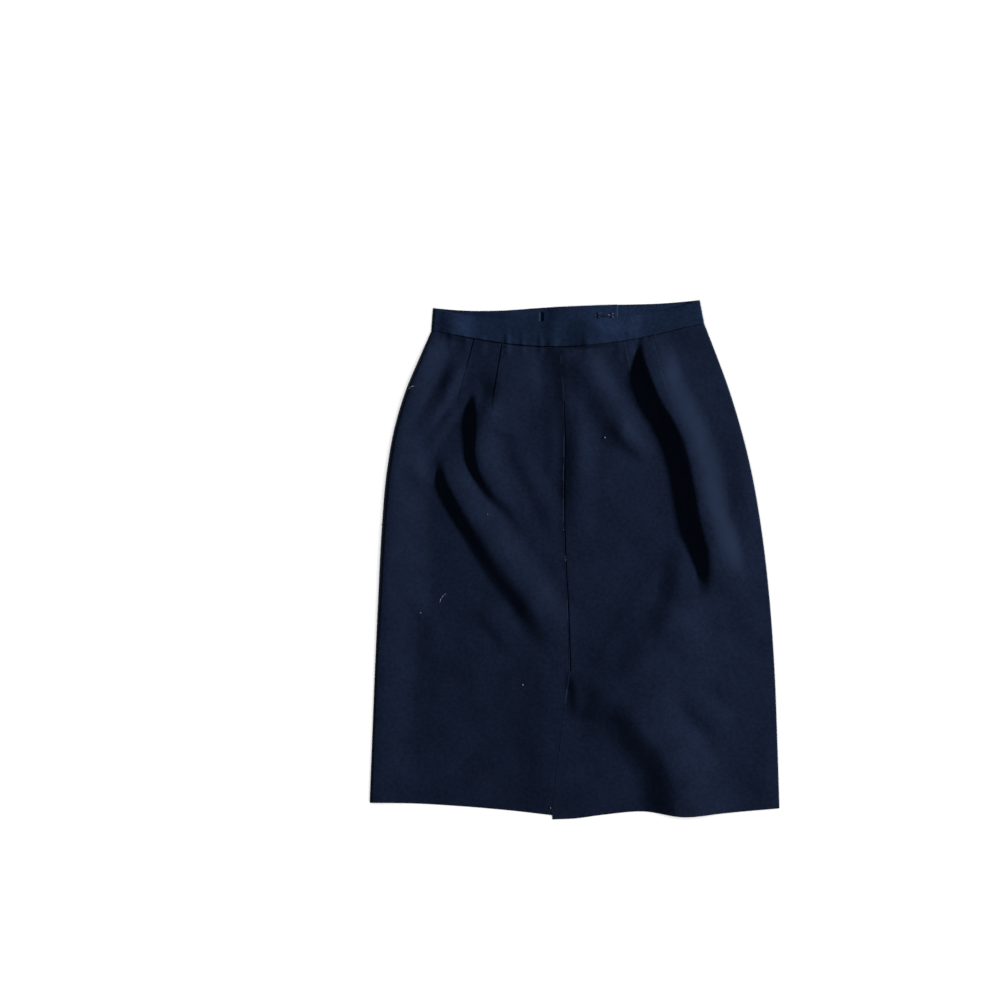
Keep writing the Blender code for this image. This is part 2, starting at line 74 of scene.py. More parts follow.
# The waistband: its folded ends, its two top edges and the seam under it
band = {
    "leftY": 327.0, "rightY": 337.28,
    "leftTop": -184.0, "rightTop": 162.4,
    "height": 31.0,
    "rise": 9.0,
    "level": 5.0,
    "proud": 0.4,
    "rollSpread": 50.0,
    "foldSteps": 20,     # cells round each folded end
    "rightTurn": 2.0,    # how far the right fold reaches in; the left one is a half circle
    "topDip": 22.0, "topPower": 0.85,
    "seamDip": 24.8, "seamPower": 1.3,
    "backTop": ((-184.0, 0.0), (-150.0, 3.8), (-100.0, 6.0), (-45.0, 3.8), (30.0, 2.6),
                (120.0, 2.5), (162.4, 0.0)),     # x, and sag below the waist's straight line
    "wall": 2.2,
    "rim": 0.8,
    "overlapEnd": -18.9,
    "underlapEnd": 56.5,
    "lapStep": 22.0,     # length of a step over a lap, and by how many of them it comes before
    "lapBefore": 1.25, "lapAfter": 0.5,     # the overlap's end and after the underlap's
    "lapMargin": 1.0,
    "seamCut": 0.3,      # how far the front's lower edge stays above the waist seam
    "endTaper": 1.3, "endThinning": 0.3,     # the underlap's end thins out by a share of the wall
    "step": 1.2,         # length of one cell along the band
    "rows": 26,
    "calmEnds": 12.0,    # length at each fold over which the waves fade
    "waveShare": 0.7,    # height of the band's waves against the panels' own
}

# The hem of each front, with x and y of places on the right one, and of the back just inside it
hem = {
    "leftY": -314.9, "leftDip": 16.6, "leftPower": 1.7,
    "right": ((-32.0, -337.4), (0.0, -336.0), (35.0, -331.4), (88.0, -326.8), (142.0, -333.0),
              (190.0, -329.4), (266.0, -322.6)),
    "backInset": 3.0, "backDip": 6.5,
}

# The vent at the foot of the centre-front seam, and the underlap cut on to the right front
vent = {
    "fall": 0.686,
    "lean": 26.0,
    "topWidth": 31.0,
    "hemWidth": 26.0,
    "slant": 0.045,
    "clear": 1.95,
    "blend": 0.07,
    "feather": 42.0,
}


def held(share):
    # The share, kept between 0 and 1
    return np.clip(share, 0.0, 1.0)


def between(start, end, share):
    # The start plus a share of the way to the end
    return start + (end - start) * share


def stacked(*parts):
    # Arrays of matching shapes side by side in a new last axis
    return np.stack(np.broadcast_arrays(*parts), axis=-1)


def lengthOf(vectors):
    # Root of the sum of squares of each vector's parts
    return np.linalg.norm(vectors, axis=-1)


def ramp(value):
    # A smooth step: 3 t squared less 2 t cubed, with t held between 0 and 1
    value = held(value)
    return value * value * (3.0 - 2.0 * value)


def bell(share):
    # Squared cosine: 1 at no share, and 0 from a whole share on
    return np.cos(0.5 * math.pi * held(share))**2


def through(knots, heights, where):
    # Cubic Hermite curve through the knots, whose slopes are the mean slopes at each knot
    knots, heights, where = (np.asarray(row, dtype=float) for row in (knots, heights, where))
    slopes = np.gradient(heights, knots)
    start = np.clip(np.searchsorted(knots, where, side="right") - 1, 0, len(knots) - 2)
    step = knots[start + 1] - knots[start]
    t = held((where - knots[start]) / step)
    rest = 1.0 - t
    value = (1.0 + 2.0 * t) * rest**2 * heights[start]
    value += t * rest**2 * step * slopes[start]
    value += t**2 * (3.0 - 2.0 * t) * heights[start + 1]
    value -= t**2 * rest * step * slopes[start + 1]
    return value


def section(name, fall):
    # One column of the section table as a smooth curve of the fall
    rows = skirtCut["sections"]
    return through([row.fall for row in rows], [getattr(row, name) for row in rows], fall)


def waistLine(x):
    # Straight line between the waistband's two top corners
    share = (x - band["leftTop"]) / (band["rightTop"] - band["leftTop"])
    return between(band["leftY"], band["rightY"], share)


def sagBetween(x, left, right, depth, power):
    # Depth times (1 - u squared) to a power, where u runs from -1 to 1 between the two ends
    across = (2.0 * x - left - right) / (right - left)
    return depth * held(1.0 - across**2)**power


def bandTopFront(x):
    # The band's upper edge in front: the waist's straight line less a sag
    ends = band["leftTop"], band["rightTop"]
    return waistLine(x) - sagBetween(x, *ends, band["topDip"], band["topPower"])


def seamFront(x):
    # The waist seam in front: a band's height below that line, less a sag of its own
    ends = topSection.left, topSection.right
    sag = sagBetween(x, *ends, band["seamDip"], band["seamPower"])
    return waistLine(x) - band["height"] - sag


def bandTopBack(x):
    # The upper edge at the back: the same line less a sag given at a few places
    return waistLine(x) - through(*zip(*band["backTop"]), x)


def seamBack(x):
    # The waist seam at the back: a band's height below that edge
    return bandTopBack(x) - band["height"]


def hemFront(x, side):
    # On the left a level less a dip times the share towards the vent, to a power
    if side == "left":
        share = (x - footSection.left) / (footSection.centre - vent["lean"] - footSection.left)
        return hem["leftY"] - hem["leftDip"] * held(share)**hem["leftPower"]
    return through(*zip(*hem["right"]), x)


def hemBack(x):
    # A straight line from side to side less a sag, set in from the front's hem
    ends = footSection.left, footSection.right
    straight = np.interp(x, ends, (hem["leftY"], hem["right"][-1][1]))
    return straight - sagBetween(x, *ends, hem["backDip"], 1.0) + hem["backInset"]


# Folds of the front. A crest is a smooth line through a few places; the cloth is steep on its
# left and gentle on its right, over these widths. Its steep side starts with a share of its width
# (flare), and is steepest nearer to the crest with a lean below 1. Soft rounds the crest at both
# ends. The whole fold fades in and out over a share of its length at each end
Fold = namedtuple("Fold", "height steep gentle fadeIn fadeOut crest flare lean soft",
                  defaults=(1.0, 1.0, 0.0))
deepCrest = ((93, 302), (92, 262), (100, 236), (112, 208), (128, 182), (141, 156), (149, 130),
             (155, 104), (165, 52), (179, 3), (183, -62))
frontFolds = {
    "crestSamples": 120,
    "flareLength": 0.6,
    "folds": {
        "leftUpper": Fold(8.0, 16, 41, 0.14, 0.50, ((-128, 224), (-127, 170), (-125, 126),
            (-105, 90), (-79, 64), (-66, 40), (-60, 22)), flare=0.6),
        "leftLong": Fold(9.0, 30, 45, 0.18, 0.27, ((-171, 146), (-165, 104), (-151, 78), (-134, 52),
            (-98, 0), (-59, -52), (-28, -104), (-15, -130)), flare=0.4),
        "leftDart": Fold(6.2, 24, 56, 0.50, 0.35, ((-93, 276), (-95, 232), (-98, 208), (-107, 190),
            (-118, 168), (-119, 145)), flare=1.70),
        "leftPale": Fold(2.2, 50, 44, 0.25, 0.40, ((-94, 300), (-94, 262), (-95, 232), (-96, 205))),
        "leftInner": Fold(2.0, 18, 24, 0.35, 0.35, ((-76, 156), (-70, 132), (-56, 104), (-30, 52),
            (-20, 20))),
        "leftTop": Fold(2.0, 36, 20, 0.30, 0.40, ((-66, 284), (-61, 254), (-58, 228), (-64, 205))),
        "leftShortUpper": Fold(5.4, 20, 16, 0.30, 0.40, ((-146, 266), (-152, 246), (-159, 232),
            (-172, 207), (-191, 174), (-206, 152))),
        "leftShortLower": Fold(3.2, 13, 12, 0.35, 0.45, ((-151, 203), (-165, 182), (-180, 161),
            (-193, 136))),
        "leftVee": Fold(2.2, 20, 20, 0.35, 0.40, ((-216, 134), (-203, 112), (-189, 90))),
        "leftFaint": Fold(2.6, 18, 36, 0.40, 0.45, ((-130, -56), (-112, -76), (-92, -98),
            (-70, -122))),
        "leftRipple": Fold(1.4, 20, 22, 0.35, 0.40, ((-208, -28), (-202, -58), (-190, -84),
            (-172, -108))),
        "leftHem": Fold(4.0, 110, 120, 0.40, 0.40, ((-19, -104), (-19, -200),
            (-19, -340)), flare=0.7),
        "centreUpper": Fold(3.6, 25, 70, 0.10, 0.40, ((-11, 285), (-9, 253), (-7, 208), (0, 166))),
        "centreSoft": Fold(4.4, 26, 34, 0.28, 0.50, ((-4, 206), (2, 180), (4, 156), (3, 130),
            (2, 104), (1, 50), (0, 0))),
        "rightDeep": Fold(10.8, 23, 43, 0.20, 0.23, deepCrest, flare=0.42, soft=0.8),
        "rightWide": Fold(4.8, 24, 95, 0.18, 0.13, deepCrest, flare=0.50),
        "rightSoft": Fold(5.0, 34, 30, 0.14, 0.35, ((6, 272), (16, 250), (40, 207), (56, 182),
            (64, 168), (74, 155), (98, 131))),
        "rightSoftEnd": Fold(2.6, 16, 20, 0.45, 0.30, ((42, 192), (54, 176), (64, 160), (80, 145),
            (102, 127))),
        "rightLow": Fold(6.8, 34, 74, 0.34, 0.36, ((150, 34), (142, -10), (136, -50), (119, -90),
            (104, -112))),
        "rightLowEnd": Fold(4.8, 42, 180, 0.28, 0.50, ((137, -60), (119, -90), (102, -114),
            (88, -138), (72, -172), (60, -200))),
        "rightEdge": Fold(2.4, 34, 16, 0.30, 0.40, ((206, 190), (216, 150), (224, 110), (230, 70),
            (234, 30))),
        "rightSide": Fold(2.2, 46, 46, 0.30, 0.40, ((190, 30), (203, -25), (210, -75),
            (213, -125))),
        "rightFaint": Fold(3.4, 26, 30, 0.40, 0.40, ((148, -158), (160, -189), (180, -209),
            (190, -229), (202, -250))),
        "ventDip": Fold(4.6, 18, 150, 0.42, 0.36, ((-5, -134), (-1, -150), (3, -165), (6, -182),
            (5, -212)), flare=0.7),
        "ventUpper": Fold(9.8, 78, 220, 0.46, 0.42, ((-9, -136), (10, -148), (39, -166), (60, -186),
            (76, -207), (91, -227), (105, -247)), flare=0.30, lean=0.8),
        "ventLong": Fold(12.0, 50, 82, 0.36, 0.01, ((56, -169), (70, -189), (84, -209), (98, -229),
            (114, -250), (123, -268), (128, -288), (133, -320), (136, -345)), lean=0.85),
    },
}

# Small upright gathers that cross the waist seam: they run down into the panel and up into the
# band, each for its own length
Gather = namedtuple("Gather", "x height steep gentle down up")
gathers = [Gather(*row) for row in (
    (-160.0, 0.9, 6, 9, 30, 4), (-157.0, 3.8, 24, 33, 8, 60), (-141.0, 0.8, 7, 5, 30, 6),
    (-120.0, 0.8, 8, 8, 22, 10), (-88.0, 1.2, 5, 7, 24, 24), (-68.0, 0.9, 5, 6, 20, 26),
    (-44.0, 0.9, 6, 5, 22, 26), (-29.0, 0.7, 9, 9, 16, 24), (15.0, 0.9, 8, 9, 20, 28),
    (24.0, 5.2, 42, 52, 5, 60), (58.0, 0.8, 9, 4, 34, 6), (103.0, 0.7, 4, 5, 12, 3),
    (127.0, 1.6, 32, 30, 6, 40))]

# Broad soft swells, each a bell of its own height and reach
Swell = namedtuple("Swell", "x y height across along")
swells = (
    Swell(-190.0, 235.0, 4.0, 105, 45),
    Swell(-205.0, -250.0, 0.8, 40, 70),
    Swell(38.0, 105.0, 3.2, 42, 48),
    Swell(150.0, -200.0, 1.5, 90, 110),
)

# Darts: how far across its panel each lies from the panel's left edge, and the fall where it
# ends. The cloth is pressed towards the centre, where it stands higher by a step over a reach
Dart = namedtuple("Dart", "across end step reach")
darts = {
    "left": (Dart(0.333, 0.135, 0.75, 30.0), Dart(0.550, 0.165, 0.95, 44.0)),
    "right": (Dart(0.451, 0.158, 0.28, 16.0), Dart(0.639, 0.125, 0.12, 16.0)),
    "stepWidth": 1.2,
    "groove": 0.35,
    "grooveHalf": 1.1,
}

# Finer waves, each kind with its shortest and longest wave and its typical height
fineWaves = {
    "seed": 11,
    "long": (34.0, 90.0, 0.11),
    "short": (9.0, 26.0, 0.035),
    "puckers": (5.0, 11.0, 0.07),
    "puckerReach": 13.0,
    "count": 30,
}


def crestLine(fold):
    # Evenly spread points along a smooth curve through the fold's places
    places = np.array(fold.crest, dtype=float).T
    knots = np.concatenate(([0.0], np.cumsum(np.hypot(*np.diff(places)))))
    along = np.linspace(0.0, knots[-1], frontFolds["crestSamples"])
    return stacked(*[through(knots, row, along) for row in places])


def foldHeight(fold, x, y):
    # Height times fade times a bell of the distance from the crest, as a share of the steep or
    # the gentle width. That share is to a power: 1 plus soft times the squared distance from the
    # fold's middle, times the lean on the steep side
    crest = crestLine(fold)
    heading = np.gradient(crest, axis=0)
    spacing = np.mean(lengthOf(heading))
    heading /= lengthOf(heading)[:, None]
    away = stacked(x, y)[..., None, :] - crest
    nearest = np.argmin(away[..., 0]**2 + away[..., 1]**2, axis=-1)
    off = np.take_along_axis(away, nearest[..., None, None], -2)
    offX, offY = off[..., 0, 0], off[..., 0, 1]
    headX, headY = heading[nearest, 0], heading[nearest, 1]
    side = headX * offY - headY * offX
    ahead = (headX * offX + headY * offY) / spacing
    along = held((nearest + ahead) / (len(crest) - 1))
    flare = between(fold.flare, 1.0, ramp(along / frontFolds["flareLength"]))
    width = np.where(side < 0, fold.steep * flare, fold.gentle)
    reach = held(np.hypot(offX, offY) / width)
    power = 1.0 + fold.soft * (2.0 * along - 1.0)**2
    reach = reach**np.where(side < 0, fold.lean * power, power)
    fade = ramp(along / fold.fadeIn) * ramp((1.0 - along) / fold.fadeOut)
    return fold.height * fade * bell(reach)


def gatherHeight(x, drop):
    # Squared cosine across each gather, faded along it; drop is the distance below the seam
    height = np.zeros(np.broadcast(x, drop).shape)
    for gather in gathers:
        off = x - gather.x
        width = np.where(off < 0, gather.steep, gather.gentle)
        length = np.where(drop > 0, gather.down, gather.up)
        along = ramp(1.0 - np.abs(drop) / length)
        height = height + gather.height * bell(np.abs(off) / width) * along
    return height


def swellHeight(x, y):
    # Sum of bells: height times e to the minus squared distance over squared reach
    height = np.zeros(np.broadcast(x, y).shape)
    for swell in swells:
        away = ((x - swell.x) / swell.across)**2 + ((y - swell.y) / swell.along)**2
        height = height + swell.height * np.exp(-away)
    return height


def wander(kind, x, y):
    # Sum of plane waves with random headings and phases and wavelengths between two limits
    shortest, longest, height = fineWaves[kind]
    draws = np.random.default_rng(fineWaves["seed"] + ("long", "short", "puckers").index(kind))
    total = np.zeros(np.broadcast(x, y).shape)
    count = fineWaves["count"]
    for heading, phase, mix in draws.random((count, 3)):
        length = shortest * (longest / shortest)**mix
        turn = math.pi * heading
        ahead = (x * math.cos(turn) + y * math.sin(turn)) / length
        total += np.sin(2.0 * math.pi * (ahead + phase))
    return height * total / math.sqrt(0.5 * count)


def dartShape(x, across, fall, width, side):
    # At each dart a smooth step up towards the centre, which falls again like a bell, less a
    # narrow groove at the seam; both close towards the dart's end
    height = np.zeros_like(x)
    sign = 1.0 if side == "left" else -1.0
    for dart in darts[side]:
        off = (across - dart.across) * width
        closing = held(1.0 - fall / dart.end)**0.5
        step = ramp(0.5 + sign * off / darts["stepWidth"])
        groove = held(1.0 - np.abs(off) / darts["grooveHalf"])
        raised = dart.step * step * bell(sign * off / dart.reach)
        height += closing * (raised - darts["groove"] * groove)
    return height


# The zip in the centre-back seam, which lifts the front a little
zipFastener = {
    "seamShift": 7.0,
    "width": 26.0, "length": 178.0, "thick": 0.8,
    "belowSeam": 2.0,
    "lift": 1.0, "margin": 2.0, "feather": 16.0,
    "rows": 120, "columns": 40,
    "cordPlace": 2.2, "cordReach": 0.9, "cordHeight": 0.2,
    "waveTurn": 0.2, "waveHeight": 0.05,
    "rim": 0.2,
    "toothPitch": 1.25, "toothPlace": 0.75, "toothSink": 0.15, "toothRidge": 0.25,
    "toothSize": (2.4, 0.7, 0.75),
    "sliderSize": (7.0, 10.0, 1.5),
    "sliderDrop": 4.0,
    "sliderTaper": 0.28,
    "sliderEnds": 0.35, "sliderSides": 0.5,      # powers of sines: the lower, the squarer
    "sliderRings": 24, "sliderRound": 32,
}


def zipMiddle():
    # x of the zip: the centre seam's at the waist, and a shift
    return float(section("centre", 0.0)) + zipFastener["seamShift"]


bandLayer = band["wall"] + skirtCut["gap"]       # how much each layer of the band takes up


def bandLevel(x):
    # The flat part of the band's front steps up over the underlap, and down again after it
    onto = ramp((x - band["overlapEnd"]) / band["lapStep"] + band["lapBefore"])
    off = ramp((x - band["underlapEnd"]) / band["lapStep"] - band["lapAfter"])
    return band["level"] + bandLayer * onto * (1.0 - off)


frontPanel = {
    "rows": 236, "columns": 92,
    "edgeCells": (0.35, 1.0, 2.0),   # widths of the first cells in from a cut edge, added up
    "turnSteps": 9,
    "seamStand": 1.0,
    "firstShare": 0.05, "lastShare": 0.98,
    "rollMix": 0.6,       # share of a smooth step in the left roll; the rest is this power
    "rollPower": 1.5,
    "waistEase": 0.10,    # fall over which the panel comes down from the band's level
    "edgeProud": 0.12,    # the left front stands this much prouder along the centre seam
    "edgeProudReach": 7.0,
    "edgeSink": 0.45,     # and the right front sinks by this much right beside it
    "edgeSinkReach": 1.7,
    "edgeSinkFrom": 0.10, "edgeSinkTo": 0.20,    # falls between which that begins
    "waistCut": 0.3,      # how far the top edge stays below the waist seam, away from the sides
    "waistCutFrom": 15.0, "waistCutReach": 25.0,
    "sideClosing": 0.2,   # and how far it comes up beside them, so that nothing shows through
    "dartColumns": (-6.0, -3.2, -1.8, -1.1, -0.6, -0.2, 0.2, 0.6, 1.1, 1.8, 3.2, 6.0),
    "dartClear": 0.004,
}


def seamOpening(inward):
    # Share by which the waist seam is open, from its distance to the nearer side
    return ramp((inward - frontPanel["waistCutFrom"]) / frontPanel["waistCutReach"])


def frontLevel(x, y, fall, side):
    # Upper face of a front panel: its rest level, raised over the band and the zip, plus every
    # fold, gather, swell and wave
    flat = skirtCut["clothLevel"]
    easing = 1.0 - ramp(fall / frontPanel["waistEase"])
    level = between(flat, bandLevel(x) - band["proud"], easing)
    under = zipFastener
    fromEdge = np.abs(x - zipMiddle()) - 0.5 * under["width"]
    beside = ramp(1.0 - (fromEdge - under["margin"]) / under["feather"])
    below = ramp(1.0 - (seamBack(x) - under["length"] - y) / under["feather"])
    level = np.maximum(level, flat + under["lift"] * beside * below)
    for fold in frontFolds["folds"].values():
        level = level + foldHeight(fold, x, y)
    drop = seamFront(x) - y
    level = level + gatherHeight(x, drop) + swellHeight(x, y)
    level = level + wander("long", x, y) + wander("short", x, y)
    nearSeam = ramp(1.0 - np.abs(drop) / fineWaves["puckerReach"])
    level = level + wander("puckers", x, y) * nearSeam
    if side == "right":
        return level
    edge = section("centre", fall) - vent["topWidth"] - vent["feather"]
    over = ramp((x - edge) / vent["feather"])
    return level + vent["clear"] * over * ramp((fall - vent["fall"]) / vent["blend"] + 1.0)


def crowdedFalls():
    # Even falls from the waist seam to the hem, with short cells at both ends
    length = seamFront(0.0) - hem["leftY"]
    short = np.array((0.0,) + frontPanel["edgeCells"]) / length
    even = np.linspace(0.0, 1.0, frontPanel["rows"] + 1)[1:-1]
    even = even[(even > short[-1]) & (even < 1.0 - short[-1])]
    return np.concatenate((short, even, 1.0 - short[::-1]))[:, None]


def frontShares(side):
    # Shares across a panel from its side seam: even ones, with extra ones close to each dart
    make = frontPanel
    shares = np.linspace(make["firstShare"], make["lastShare"], make["columns"])
    width = abs(getattr(topSection, side) - topSection.centre)
    shares = np.concatenate((shares, 1.0 - np.array((0.0,) + make["edgeCells"]) / width))
    for dart in darts[side]:
        place = dart.across if side == "left" else 1.0 - dart.across
        close = place + np.array(make["dartColumns"]) / width
        clear = make["dartClear"]
        shares = shares[(shares < close[0] - clear) | (shares > close[-1] + clear)]
        shares = np.concatenate((shares, close))
    return np.sort(shares)


def sideTurn(side, fall, steps):
    # A panel's side: its edge, its rise, which way is inward, and x and angle of the quarter of
    # an ellipse that turns it over, with the side seam as a column of its own
    edge = section(side, fall)
    rise = section(side + "Rise", fall)
    sign = 1.0 if side == "left" else -1.0
    quarter = np.linspace(0.0, 0.5 * math.pi, steps + 1)
    angle = np.concatenate(([0.0], quarter))[None, :]
    x = edge + sign * skirtCut["turnWidth"] * rise * (1.0 - np.cos(angle))
    return edge, rise, sign, x, angle


def frontPoints(side):
    # Outer face of a front panel. Rows start at the side seam, stand upright, turn over and run
    # flat to the free edge; columns are straight lines from the waist seam to the hem
    make = frontPanel
    left = side == "left"
    fall = crowdedFalls()
    edge, rise, sign, turnX, angle = sideTurn(side, fall, make["turnSteps"])
    centre = section("centre", fall) - sign * 0.5 * skirtCut["gap"]
    below = held((fall - vent["fall"]) / (1.0 - vent["fall"]))
    if left:
        centre = centre - vent["lean"] * below
        free = centre
    else:
        lap = between(vent["topWidth"], vent["hemWidth"], below)
        free = centre - lap * held((fall - vent["fall"]) / vent["slant"])
    x = np.concatenate((turnX, between(edge, free, frontShares(side)[None, :])), axis=1)

    across = held((x - edge) / (centre - edge))
    topX = between(edge[0], centre[0], across)
    hemX = between(edge[-1], centre[-1], across) + x - between(edge, centre, across)
    opening = seamOpening(np.abs(topX - edge[0]))
    cut = (make["waistCut"] + make["sideClosing"]) * opening - make["sideClosing"]
    y = between(seamFront(topX) - cut, hemFront(hemX, side), fall)

    spread = section("leftSpread", fall) if left else skirtCut["rightSpread"]
    inward = np.clip(np.abs(x - edge) - skirtCut["turnWidth"] * rise, 0.0, None) / spread
    roll = 1.0 - ramp(inward)
    if left:
        roll = between(held(1.0 - inward)**make["rollPower"], roll, make["rollMix"])
    z = frontLevel(x, y, fall, side) + (rise - skirtCut["clothLevel"]) * roll
    fromLeft = across if left else 1.0 - across
    z = z + dartShape(x, fromLeft, fall, np.abs(centre - edge), side)
    if left:
        z = z + make["edgeProud"] * ramp(1.0 - np.abs(x - free) / make["edgeProudReach"])
    else:
        sink = make["edgeSink"] * ramp(1.0 - np.abs(x - free) / make["edgeSinkReach"])
        sink = sink * ramp((vent["fall"] - fall) / vent["blend"] + 1.0)
        start = make["edgeSinkFrom"]
        z = z - sink * ramp((fall - start) / (make["edgeSinkTo"] - start))

    last = angle.shape[1]
    seam = 0.5 * rise + skirtCut["sideGap"]
    z[:, :last] = between(seam + make["seamStand"], z[:, last - 1:last], np.sin(angle))
    z[:, :1] = seam
    points = stacked(x, y, z)
    return points if left else points[:, ::-1]


backPanel = {
    "rows": 90, "columns": 54,
    "turnSteps": 9,
    "seamStand": 1.0,
    "dartPlaces": (0.36, 0.62),
    "dartEnd": 0.17, "dartPower": 0.6,
    "groove": 0.35, "grooveHalf": 1.4,
}


def backPoints(side):
    # Outer face of a back panel: flat on the floor, then turned up to its side seam; its darts
    # are grooves that close towards their ends
    make = backPanel
    fall = np.linspace(0.0, 1.0, make["rows"] + 1)[:, None]
    edge, rise, sign, turnX, angle = sideTurn(side, fall, make["turnSteps"])
    centre = np.full_like(edge, zipMiddle()) - sign * 0.5 * skirtCut["gap"]
    shares = np.linspace(0.0, 1.0, make["columns"] + 1)[None, 1:]
    x = np.concatenate((turnX, between(turnX[:, -1:], centre, shares)), axis=1)
    across = (x - edge) / (centre - edge)
    top, foot = (between(edge[row], centre[row], across) for row in (0, -1))
    y = between(seamBack(top), hemBack(foot), fall)
    z = np.zeros_like(x)
    closing = held(1.0 - fall / make["dartEnd"])**make["dartPower"]
    for place in make["dartPlaces"]:
        off = np.abs(across - place) * np.abs(centre - edge)
        z += make["groove"] * closing * held(1.0 - off / make["grooveHalf"])
    last = angle.shape[1]
    seam = 0.5 * rise
    z[:, :last] = (seam - make["seamStand"]) * (1.0 - np.sin(angle))
    z[:, :1] = seam
    points = stacked(x, y, z)
    return points[:, ::-1] if side == "left" else points


# What shows on the inner face of the back of the band, beside the closure: a slit with a lip
bandSlit = {
    "x": -43.2, "half": 2.6, "depth": 1.95,
    "lipX": -47.6, "lipHalf": 2.4, "lip": 0.12,
    "low": 0.36, "high": 0.84,       # shares of the band's height between which the slit lies
    "ends": 0.06,
    "wave": 1.8,         # the back of the band lifts by this much left of the slit
    "waveFrom": -152.0, "waveUp": 46.0,
    "waveTo": -62.0, "waveDown": 28.0,
    "waveDepth": 9.0,    # distance above the front's edge over which the lift begins
}


def bandPoints():
    # Outer face of the waistband: from the underlap's end along the back to the left fold, over
    # a half ellipse to the front, over the right fold, and along the back to the overlap's end.
    # Rows run from the top edge down to the seam. Also gives the wall's thickness at each point
    half, tight, gap = 0.5 * band["rise"], band["rightTurn"], skirtCut["gap"]
    share = np.linspace(1.0, 0.0, band["rows"] + 1)[:, None]
    left = between(topSection.left, band["leftTop"], share)
    right = between(topSection.right, band["rightTop"], share)

    def run(start, end):
        # Even cells from the start to the end, none longer than the band's step
        count = int(np.ceil(np.max(np.abs(end - start)) / band["step"]))
        return between(start, end, np.linspace(0.0, 1.0, count + 1)[None, :])

    def back(x):
        # y between the waist seam and the top edge, at the back
        return between(seamBack(x) + gap, bandTopBack(x), share)

    def front(x):
        # The same in front, where the lower edge is cut just above the seam
        inward = np.minimum(x - topSection.left, topSection.right - x)
        cut = band["seamCut"] * seamOpening(inward)
        return between(seamFront(x) + gap + cut, bandTopFront(x), share)

    def raised(x):
        # A smooth step by which the underlap climbs over the overlap's end
        climbed = x - band["overlapEnd"] + band["lapStep"] + band["lapMargin"]
        return bandLayer * ramp(climbed / band["lapStep"])

    def upper(x):
        # Height of the front: its level, a roll towards both folds, and waves and gathers
        inward = np.minimum(x - left - half, right - x - tight)
        y = front(x)
        waves = wander("long", x, y) + wander("puckers", x, y) * (1.0 - share)
        waves = band["waveShare"] * waves + gatherHeight(x, seamFront(x) - y)
        roll = (band["rise"] - band["level"]) * (1.0 - ramp(inward / band["rollSpread"]))
        return bandLevel(x) + roll + ramp(inward / band["calmEnds"]) * waves

    angle = np.linspace(-0.5 * math.pi, 0.5 * math.pi, band["foldSteps"] + 1)[None, 1:-1]
    underX = run(np.full_like(left, band["underlapEnd"]), left + half)
    leftX = left + half * (1.0 - np.cos(angle))
    frontX = run(left + half, right - tight)
    rightX = right - tight * (1.0 - np.cos(angle))
    overX = run(right - tight, np.full_like(right, band["overlapEnd"]))
    turnZ = half * (1.0 + np.sin(angle))

    def turnY(x):
        # y on a folded end: the back's on its lower half, and the front's on its upper half
        return np.where(angle < 0.0, back(x), front(x))

    slit = bandSlit
    ends = slit["ends"]
    inSlit = ramp((share - slit["low"]) / ends) * ramp((slit["high"] - share) / ends)
    cut = held(1.0 - np.abs(underX - slit["x"]) / slit["half"])
    lip = held(1.0 - np.abs(underX - slit["lipX"]) / slit["lipHalf"])
    underWall = band["wall"] + inSlit * (slit["lip"] * lip - slit["depth"] * np.sqrt(cut))
    taper = ramp(1.0 - (band["underlapEnd"] - underX) / band["endTaper"])
    underWall = underWall - band["endThinning"] * band["wall"] * taper
    lift = ramp((underX - slit["waveFrom"]) / slit["waveUp"])
    lift = lift * ramp((slit["waveTo"] - underX) / slit["waveDown"])
    lift = slit["wave"] * lift * ramp((back(underX) - bandTopFront(underX)) / slit["waveDepth"])

    stretches = (
        (underX, back(underX), raised(underX) + lift, underWall),
        (leftX, turnY(leftX), turnZ, band["wall"]),
        (frontX, front(frontX), upper(frontX), band["wall"]),
        (rightX[:, ::-1], turnY(rightX)[:, ::-1], turnZ[:, ::-1], band["wall"]),
        (overX, back(overX), 0.0, band["wall"]),
    )
    joined = np.concatenate([stacked(*stretch) for stretch in stretches], axis=1)
    return joined[..., :3], joined[..., 3]


def unit(vectors, least=1e-9):
    # Each vector over its length, or over the least length that is allowed
    return vectors / np.maximum(lengthOf(vectors)[..., None], least)


def addObject(name, data):
    # An object of that name for a mesh, a light or a camera
    made = bpy.data.objects.new(name, data)
    bpy.context.scene.collection.objects.link(made)
    return made


def makeMesh(name, vertices, faces, uvs=None):
    # Puts vertices in millimetres, faces and a UV in millimetres for each vertex in a mesh
    mesh = bpy.data.meshes.new(name)
    mesh.from_pydata((np.asarray(vertices) * mm).tolist(), [], faces)
    if uvs is not None:
        layer = mesh.uv_layers.new(name="clothGrain")
        corner = np.empty(len(mesh.loops), dtype=np.int32)
        mesh.loops.foreach_get("vertex_index", corner)
        layer.data.foreach_set("uv", (np.asarray(uvs)[corner] * mm).astype(np.float32).ravel())
    mesh.shade_smooth()
    mesh.validate()
    return addObject(name, mesh)


def gridFaces(index):
    # Quads of a grid of vertex numbers, each listed down its first column and back up the next
    corners = (index[:-1, :-1], index[1:, :-1], index[1:, 1:], index[:-1, 1:])
    return stacked(*corners).reshape(-1, 4)


def ringOf(grid):
    # The border of a grid once round: down its first column, along its last row, and back
    return np.concatenate((grid[:-1, 0], grid[-1, :-1], grid[:0:-1, -1], grid[0, :0:-1]))


